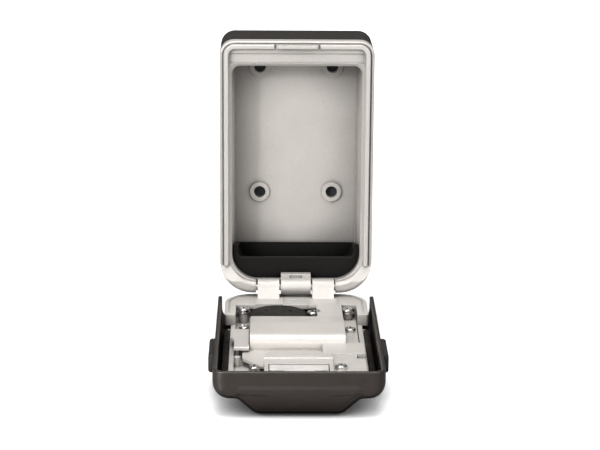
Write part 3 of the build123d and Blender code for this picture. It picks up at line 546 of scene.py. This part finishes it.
def weather_cover():
    """The black cover: a thin shell with rounded edges, wings and a raised bulge."""
    cover = bmesh.new()
    outer = cover_skin(cover, 0.0, COVER_LOW.y + PANEL_STEP)
    inner = cover_skin(cover, COVER_SHEET, COVER_LOW.y + PANEL_STEP + COVER_WALL)
    join_rings(cover, outer)
    join_rings(cover, inner)
    outer_rows = close_end(cover, outer[-1], panel_relief)
    inner_rows = close_end(cover, inner[-1], no_relief)
    close_rims(cover, outer, inner, outer_rows, inner_rows)
    bmesh.ops.recalc_face_normals(cover, faces=cover.faces)
    steep = math.radians(RIM_ANGLE)
    rim = [edge for edge in cover.edges if edge.is_manifold and edge.calc_face_angle() > steep]
    bmesh.ops.bevel(cover, geom=rim, offset=RIM_ROUND, segments=3, affect="EDGES", profile=0.5)
    for side in (-1, 1):
        add_runner(cover, side)
    piece = mesh_object("weather_cover_shell", cover)
    shade_smooth(piece, 35)
    finish_piece(piece, "weather_cover", "cover_black", "weather_cover")
    piece.data.materials.append(RUNNER_SHADED_PLASTIC)
    return piece


def add_prism(mesh_data, section, near, far, rounding):
    """A bar with a closed section of (x, z) points between two y levels, edges rounded."""
    ends = []
    for y in (near, far):
        ends.append([mesh_data.verts.new((x, y, z)) for x, z in section])
    first, second = ends
    count = len(section)
    faces = [mesh_data.faces.new(first), mesh_data.faces.new(second[::-1])]
    for index in range(count):
        following = (index + 1) % count
        corners = [first[following], first[index], second[index], second[following]]
        faces.append(mesh_data.faces.new(corners))
    bmesh.ops.recalc_face_normals(mesh_data, faces=faces)
    edges = list({edge for face in faces for edge in face.edges})
    bmesh.ops.bevel(
        mesh_data, geom=edges, offset=rounding, segments=2, affect="EDGES", profile=0.5
    )


RUNNER_TOP = HINGE.z - 8.2 * MM
RUNNER_FOOT = COVER_FRONT + COVER_SHEET - 0.3 * MM
RUNNER_LIP = 1.3 * MM
RUNNER_ROUND = 0.15 * MM
RUNNER_INSIDE = 29.9 * MM
RUNNER_LEG = 31.3 * MM
RUNNER_OUTSIDE = 32.5 * MM
RUNNER_START = HINGE.y - 112.0 * MM
RUNNER_END = HINGE.y - 40.0 * MM


def add_runner(cover, side):
    """One hooked runner inside the cover, an angle section along the door's side.

    Its faces take the cover's second material, a darker and duller copy of its black that
    paints shade on the runner."""
    skin = set(cover.faces)
    lip = RUNNER_TOP - RUNNER_LIP
    corners = [
        (RUNNER_INSIDE, RUNNER_TOP),
        (RUNNER_OUTSIDE, RUNNER_TOP),
        (RUNNER_OUTSIDE, RUNNER_FOOT),
        (RUNNER_LEG, RUNNER_FOOT),
        (RUNNER_LEG, lip),
        (RUNNER_INSIDE, lip),
    ]
    section = [(side * x, z) for x, z in corners]
    add_prism(cover, section, RUNNER_START, RUNNER_END, RUNNER_ROUND)
    for face in cover.faces:
        if face not in skin:
            face.material_index = 1


# ---- finger grips ----
GRIP_RIBS = 7
GRIP_STEP = 3.3 * MM
GRIP_RIB = 1.8 * MM
GRIP_FIRST = 0.4 * MM
GRIP_DEPTH = 0.7 * MM
GRIP_ROOT = 1.2 * MM
GRIP_PAD_ROUND = 0.3 * MM
GRIP_RIB_ROUND = 0.25 * MM
RIB_TIP_OUT = 0.3 * MM
RIB_TIP_UP = 0.9 * MM
RIB_FOOT_UP = 0.1 * MM
RIB_HEAD_UP = 0.05 * MM


def finger_grip(node):
    """One rubber grip: a rounded pad with soft-edged ribs."""
    low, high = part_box(node)
    side = 1 if low.x > 0 else -1
    inner = min(abs(low.x), abs(high.x))
    outer = max(abs(low.x), abs(high.x))
    grip = bmesh.new()
    face = outer - GRIP_DEPTH
    pad = [(inner, low.z), (face, low.z), (face, high.z), (inner, high.z)]
    add_prism(grip, [(side * x, z) for x, z in pad], low.y, high.y, GRIP_PAD_ROUND)
    root = outer - GRIP_ROOT
    rib = [
        (root, low.z + RIB_FOOT_UP),
        (outer - RIB_TIP_OUT, low.z + RIB_FOOT_UP),
        (outer, low.z + RIB_TIP_UP),
        (outer, high.z - RIB_TIP_UP),
        (outer - RIB_TIP_OUT, high.z + RIB_HEAD_UP),
        (root, high.z + RIB_HEAD_UP),
    ]
    for step in range(GRIP_RIBS):
        near = low.y + GRIP_FIRST + step * GRIP_STEP
        section = [(side * x, z) for x, z in rib]
        add_prism(grip, section, near, near + GRIP_RIB, GRIP_RIB_ROUND)
    piece = mesh_object(node + "_ribbed", grip)
    shade_smooth(piece, 40)
    return finish_piece(piece, "weather_cover", "grip_black", node)


def finish_piece(piece, body, slot, *nodes):
    """Material, body and replaced CAD nodes of a finished piece."""
    piece.data.materials.append(MATERIALS[slot])
    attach(piece, body)
    if nodes:
        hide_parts(*nodes)
    return piece


# ---- numbers on the wheels ----
NUMERAL_SIZE = 4.6 * MM
NUMERAL_RISE = 0.03 * MM
NUMERAL_STRIP = 0.3 * MM
WHEELS = 4
DIGITS = 10


def numeral_mesh(text):
    """A flat mesh of one numeral, centred on its origin and cut into narrow level strips."""
    curve = bpy.data.curves.new("numeral", "FONT")
    curve.body = text
    curve.size = NUMERAL_SIZE
    curve.align_x = "CENTER"
    curve.align_y = "CENTER"
    curve.resolution_u = 3
    holder = bpy.data.objects.new("numeral", curve)
    mesh = bpy.data.meshes.new_from_object(holder)
    bpy.data.objects.remove(holder)
    flat = bmesh.new()
    flat.from_mesh(mesh)
    bmesh.ops.triangulate(flat, faces=flat.faces)
    strips = round(NUMERAL_SIZE / NUMERAL_STRIP)
    for strip in range(-strips // 2, strips // 2 + 1):
        geometry = list(flat.verts) + list(flat.edges) + list(flat.faces)
        level = (0, strip * NUMERAL_STRIP, 0)
        bmesh.ops.bisect_plane(
            flat, geom=geometry, dist=0.001 * MM, plane_co=level, plane_no=(0, 1, 0)
        )
    flat.to_mesh(mesh)
    flat.free()
    return mesh


def wheel_numbers(number):
    """The ten numerals printed around one wheel, zero at the front of the closed door."""
    low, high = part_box("dial_wheel_%d" % number)
    centre = (low + high) / 2
    radius = (high.z - low.z) / 2 + NUMERAL_RISE
    band = bmesh.new()
    for value in range(DIGITS):
        numeral = numeral_mesh(str(value))
        made = []
        for vertex in numeral.vertices:
            turn = 2 * math.pi * value / DIGITS + vertex.co.y / radius
            out = Vector((0, -math.sin(turn), -math.cos(turn)))
            made.append(band.verts.new(centre + Vector((vertex.co.x, 0, 0)) + out * radius))
        for polygon in numeral.polygons:
            band.faces.new([made[index] for index in polygon.vertices])
    piece = mesh_object("wheel_numbers_%d" % number, band)
    piece.data.materials.append(MATERIALS["digit_ink"])
    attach(piece, "wheel_%d" % number)


# ---- studio ----
FLOOR_SIZE = 6.0
FLOOR_GAP = 0.1 * MM
FLOOR_BOUNCE = 0.25
PAINTED_SHADOW_REACH = 15.0 * MM
GLOW_NEAR = 0.10
GLOW_FAR = 0.5
SURROUND_BACK = 0.16
SURROUND_FRONT = 0.40


def studio_floor():
    """A pale floor that glows for the camera, less near the box. It looks brighter than it shines
    on the box, and a shadow is painted on it where they meet.
    """
    floor_mesh = bmesh.new()
    bmesh.ops.create_grid(floor_mesh, x_segments=8, y_segments=8, size=FLOOR_SIZE)
    floor = mesh_object("studio_floor", floor_mesh)
    floor.location = (0, 0, COVER_LOW.z - FLOOR_GAP)
    s = Shader("studio_floor")
    tone = s.ramp(s.noise(2.0), 0.3, 0.7, 0.90, 0.92)
    seen = s.add("ShaderNodeLightPath", output=0)
    tone = s.math("MULTIPLY", tone, s.ramp(seen, 0.0, 1.0, FLOOR_BOUNCE, 1.0))
    # Painted shadow: the floor darkens where the box comes near it.
    painted_contact_shadow = s.ramp(s.crevice(PAINTED_SHADOW_REACH), 0.14, 0.70, 0.05, 1.0)
    tone = s.math("MULTIPLY", tone, painted_contact_shadow)
    colour = s.add("ShaderNodeCombineColor", {0: tone, 1: tone, 2: tone})
    away = s.add("ShaderNodeVectorMath", {0: s.position}, output=1, operation="LENGTH")
    # The floor glows for the camera, dimmer near the box and under the painted shadow.
    glow = s.math("MULTIPLY", s.ramp(away, GLOW_NEAR, GLOW_FAR, 0.4, 1.0), seen)
    glow = s.math("MULTIPLY", glow, painted_contact_shadow)
    floor.data.materials.append(
        s.surface(
            Base_Color=colour,
            Roughness=0.9,
            Specular_IOR_Level=0.1,
            Emission_Color=grey(1.0),
            Emission_Strength=glow,
        )
    )


def surround():
    """White where the camera sees it, and a soft light that is stronger from the front."""
    world = bpy.data.worlds.new("studio")
    bpy.context.scene.world = world
    world.use_nodes = True
    tree = world.node_tree
    tree.nodes.clear()
    rays = tree.nodes.new("ShaderNodeLightPath")
    seen = tree.nodes.new("ShaderNodeBackground")
    seen.inputs["Color"].default_value = grey(1.0)
    seen.inputs["Strength"].default_value = 1.0
    lit = tree.nodes.new("ShaderNodeBackground")
    lit.inputs["Color"].default_value = (1.0, 0.985, 0.965, 1)
    where = tree.nodes.new("ShaderNodeTexCoord")
    split = tree.nodes.new("ShaderNodeSeparateXYZ")
    front = tree.nodes.new("ShaderNodeMapRange")
    front.inputs[1].default_value = 0.35
    front.inputs[2].default_value = -0.9
    front.inputs[3].default_value = SURROUND_BACK
    front.inputs[4].default_value = SURROUND_FRONT
    tree.links.new(where.outputs["Generated"], split.inputs[0])
    tree.links.new(split.outputs["Y"], front.inputs[0])
    tree.links.new(front.outputs[0], lit.inputs["Strength"])
    both = tree.nodes.new("ShaderNodeMixShader")
    out = tree.nodes.new("ShaderNodeOutputWorld")
    tree.links.new(rays.outputs["Is Camera Ray"], both.inputs[0])
    tree.links.new(lit.outputs[0], both.inputs[1])
    tree.links.new(seen.outputs[0], both.inputs[2])
    tree.links.new(both.outputs[0], out.inputs["Surface"])


PATCH_HALF = 25
PATCH_FOOT = 30
PATCH_HEAD = 108
PATCH_GAP = 0.4 * MM


def wall_patch():
    """A dark sheet right behind the box that puts painted shade in the mounting holes. It only
    shows through the mounting holes.
    """
    patch_mesh = bmesh.new()
    left, right = -PATCH_HALF, PATCH_HALF
    outline = [(left, PATCH_FOOT), (right, PATCH_FOOT), (right, PATCH_HEAD), (left, PATCH_HEAD)]
    patch_mesh.faces.new([patch_mesh.verts.new(hinge_point(x, 0, z)) for x, z in outline])
    patch = mesh_object("studio_hole_shade_sheet", patch_mesh)
    patch.location.y = PATCH_GAP - HINGE.y
    s = Shader("studio_hole_shade_sheet")
    # Painted shade: a dark tone the camera sees through the holes from the front; other rays pass through.
    tone = s.ramp(s.noise(400.0), 0.3, 0.7, 0.05, 0.07)
    colour = s.add("ShaderNodeCombineColor", {0: tone, 1: tone, 2: tone})
    shade = s.add("ShaderNodeBsdfDiffuse", {"Color": colour})
    clear = s.add("ShaderNodeBsdfTransparent")
    behind = s.add("ShaderNodeNewGeometry", output=6)
    unseen = s.ramp(s.add("ShaderNodeLightPath", output=0), 0.0, 1.0, 1.0, 0.0)
    hidden = s.math("MAXIMUM", behind, unseen)
    s.add_output(s.add("ShaderNodeMixShader", {0: hidden, 1: shade, 2: clear}))
    patch.data.materials.append(s.material)


def place_lamp(light, place, target):
    """Put a light in the scene, aimed at a point."""
    lamp = bpy.data.objects.new(light.name, light)
    lamp.location = place
    lamp.rotation_euler = (target - place).to_track_quat("-Z", "Y").to_euler()
    bpy.context.scene.collection.objects.link(lamp)
    return lamp


def soft_light(name, place, target, size, power):
    """A square area light."""
    light = bpy.data.lights.new(name, "AREA")
    light.size = size
    light.energy = power
    return place_lamp(light, place, target)


def light_only(lamp, pieces):
    """Let a lamp reach the given pieces and nothing else."""
    group = bpy.data.collections.new(lamp.name + "_pieces")
    for piece in pieces:
        group.objects.link(piece)
    lamp.light_linking.receiver_collection = group


def spot_light(name, place, target, cone, power):
    """A soft-edged spot, cone in degrees, that lifts one region."""
    light = bpy.data.lights.new(name, "SPOT")
    light.energy = power
    light.spot_size = math.radians(cone)
    light.spot_blend = 1.0
    light.shadow_soft_size = 0.12
    return place_lamp(light, place, target)


# Name, place from the middle of the box, size and power of the soft lights.
SOFT_LIGHTS = [
    ("key_left", (-0.55, -1.05, 0.55), 0.8, 8.6),
    ("low_front", (-0.18, -0.70, 0.06), 0.4, 0.55),
    ("fill_right", (0.9, -1.2, 0.4), 0.9, 5.5),
    ("top", (0.0, -0.12, 1.3), 0.8, 14.0),
]
SPOT_PLACE = (-0.5, -1.1, 0.45)
SPOT_CONE = 6.5
SPOT_POWER = 78.0
SHEEN_PLACE = (-0.60, -0.55, -0.02)
SHEEN_SIZE = 0.16
SHEEN_POWER = 7.0


def studio_lights(cover_pieces):
    """The soft lights, a spot on the frame's upper right and a sheen for the black cover."""
    middle = hinge_point(0, -20, 40)
    for name, place, size, power in SOFT_LIGHTS:
        soft_light(name, middle + Vector(place), middle, size, power)
    frame_corner = hinge_point(26, 0, 85)
    spot_light("frame_spot", middle + Vector(SPOT_PLACE), frame_corner, SPOT_CONE, SPOT_POWER)
    place = middle + Vector(SHEEN_PLACE)
    sheen = soft_light("sheen_left", place, middle, SHEEN_SIZE, SHEEN_POWER)
    light_only(sheen, cover_pieces)


# ---- camera ----
CAMERA_AZIMUTH = -0.957
CAMERA_ELEVATION = 14.694
CAMERA_ROLL = 0.41
CAMERA_DISTANCE = 0.933182
CAMERA_LENS = 120.973
CAMERA_TARGET = hinge_point(1.785, 0.0, 29.916)


def camera():
    """The photograph's viewpoint."""
    azimuth = math.radians(CAMERA_AZIMUTH)
    elevation = math.radians(CAMERA_ELEVATION)
    roll = math.radians(CAMERA_ROLL)
    back = Vector(
        (
            math.sin(azimuth) * math.cos(elevation),
            -math.cos(azimuth) * math.cos(elevation),
            math.sin(elevation),
        )
    )
    level_right = Vector((math.cos(azimuth), math.sin(azimuth), 0))
    level_up = back.cross(level_right)
    right = level_right * math.cos(roll) + level_up * math.sin(roll)
    up = level_up * math.cos(roll) - level_right * math.sin(roll)
    turned = Matrix((right, up, back)).transposed().to_4x4()
    turned.translation = CAMERA_TARGET + back * CAMERA_DISTANCE
    lens = bpy.data.cameras.new("camera")
    lens.lens = CAMERA_LENS
    lens.sensor_width = 36.0
    lens.clip_start = 0.01
    lens.clip_end = 50.0
    made = bpy.data.objects.new("camera", lens)
    made.matrix_world = turned
    bpy.context.scene.collection.objects.link(made)
    bpy.context.scene.camera = made


paint_nodes()
studio_floor()
surround()
wall_patch()
cover_pieces = [weather_cover()]
for grip_node in ("cover_grip_left", "cover_grip_right"):
    cover_pieces.append(finger_grip(grip_node))
for wheel in range(1, WHEELS + 1):
    wheel_numbers(wheel)
studio_lights(cover_pieces)
camera()
bpy.context.scene.view_settings.view_transform = "Standard"
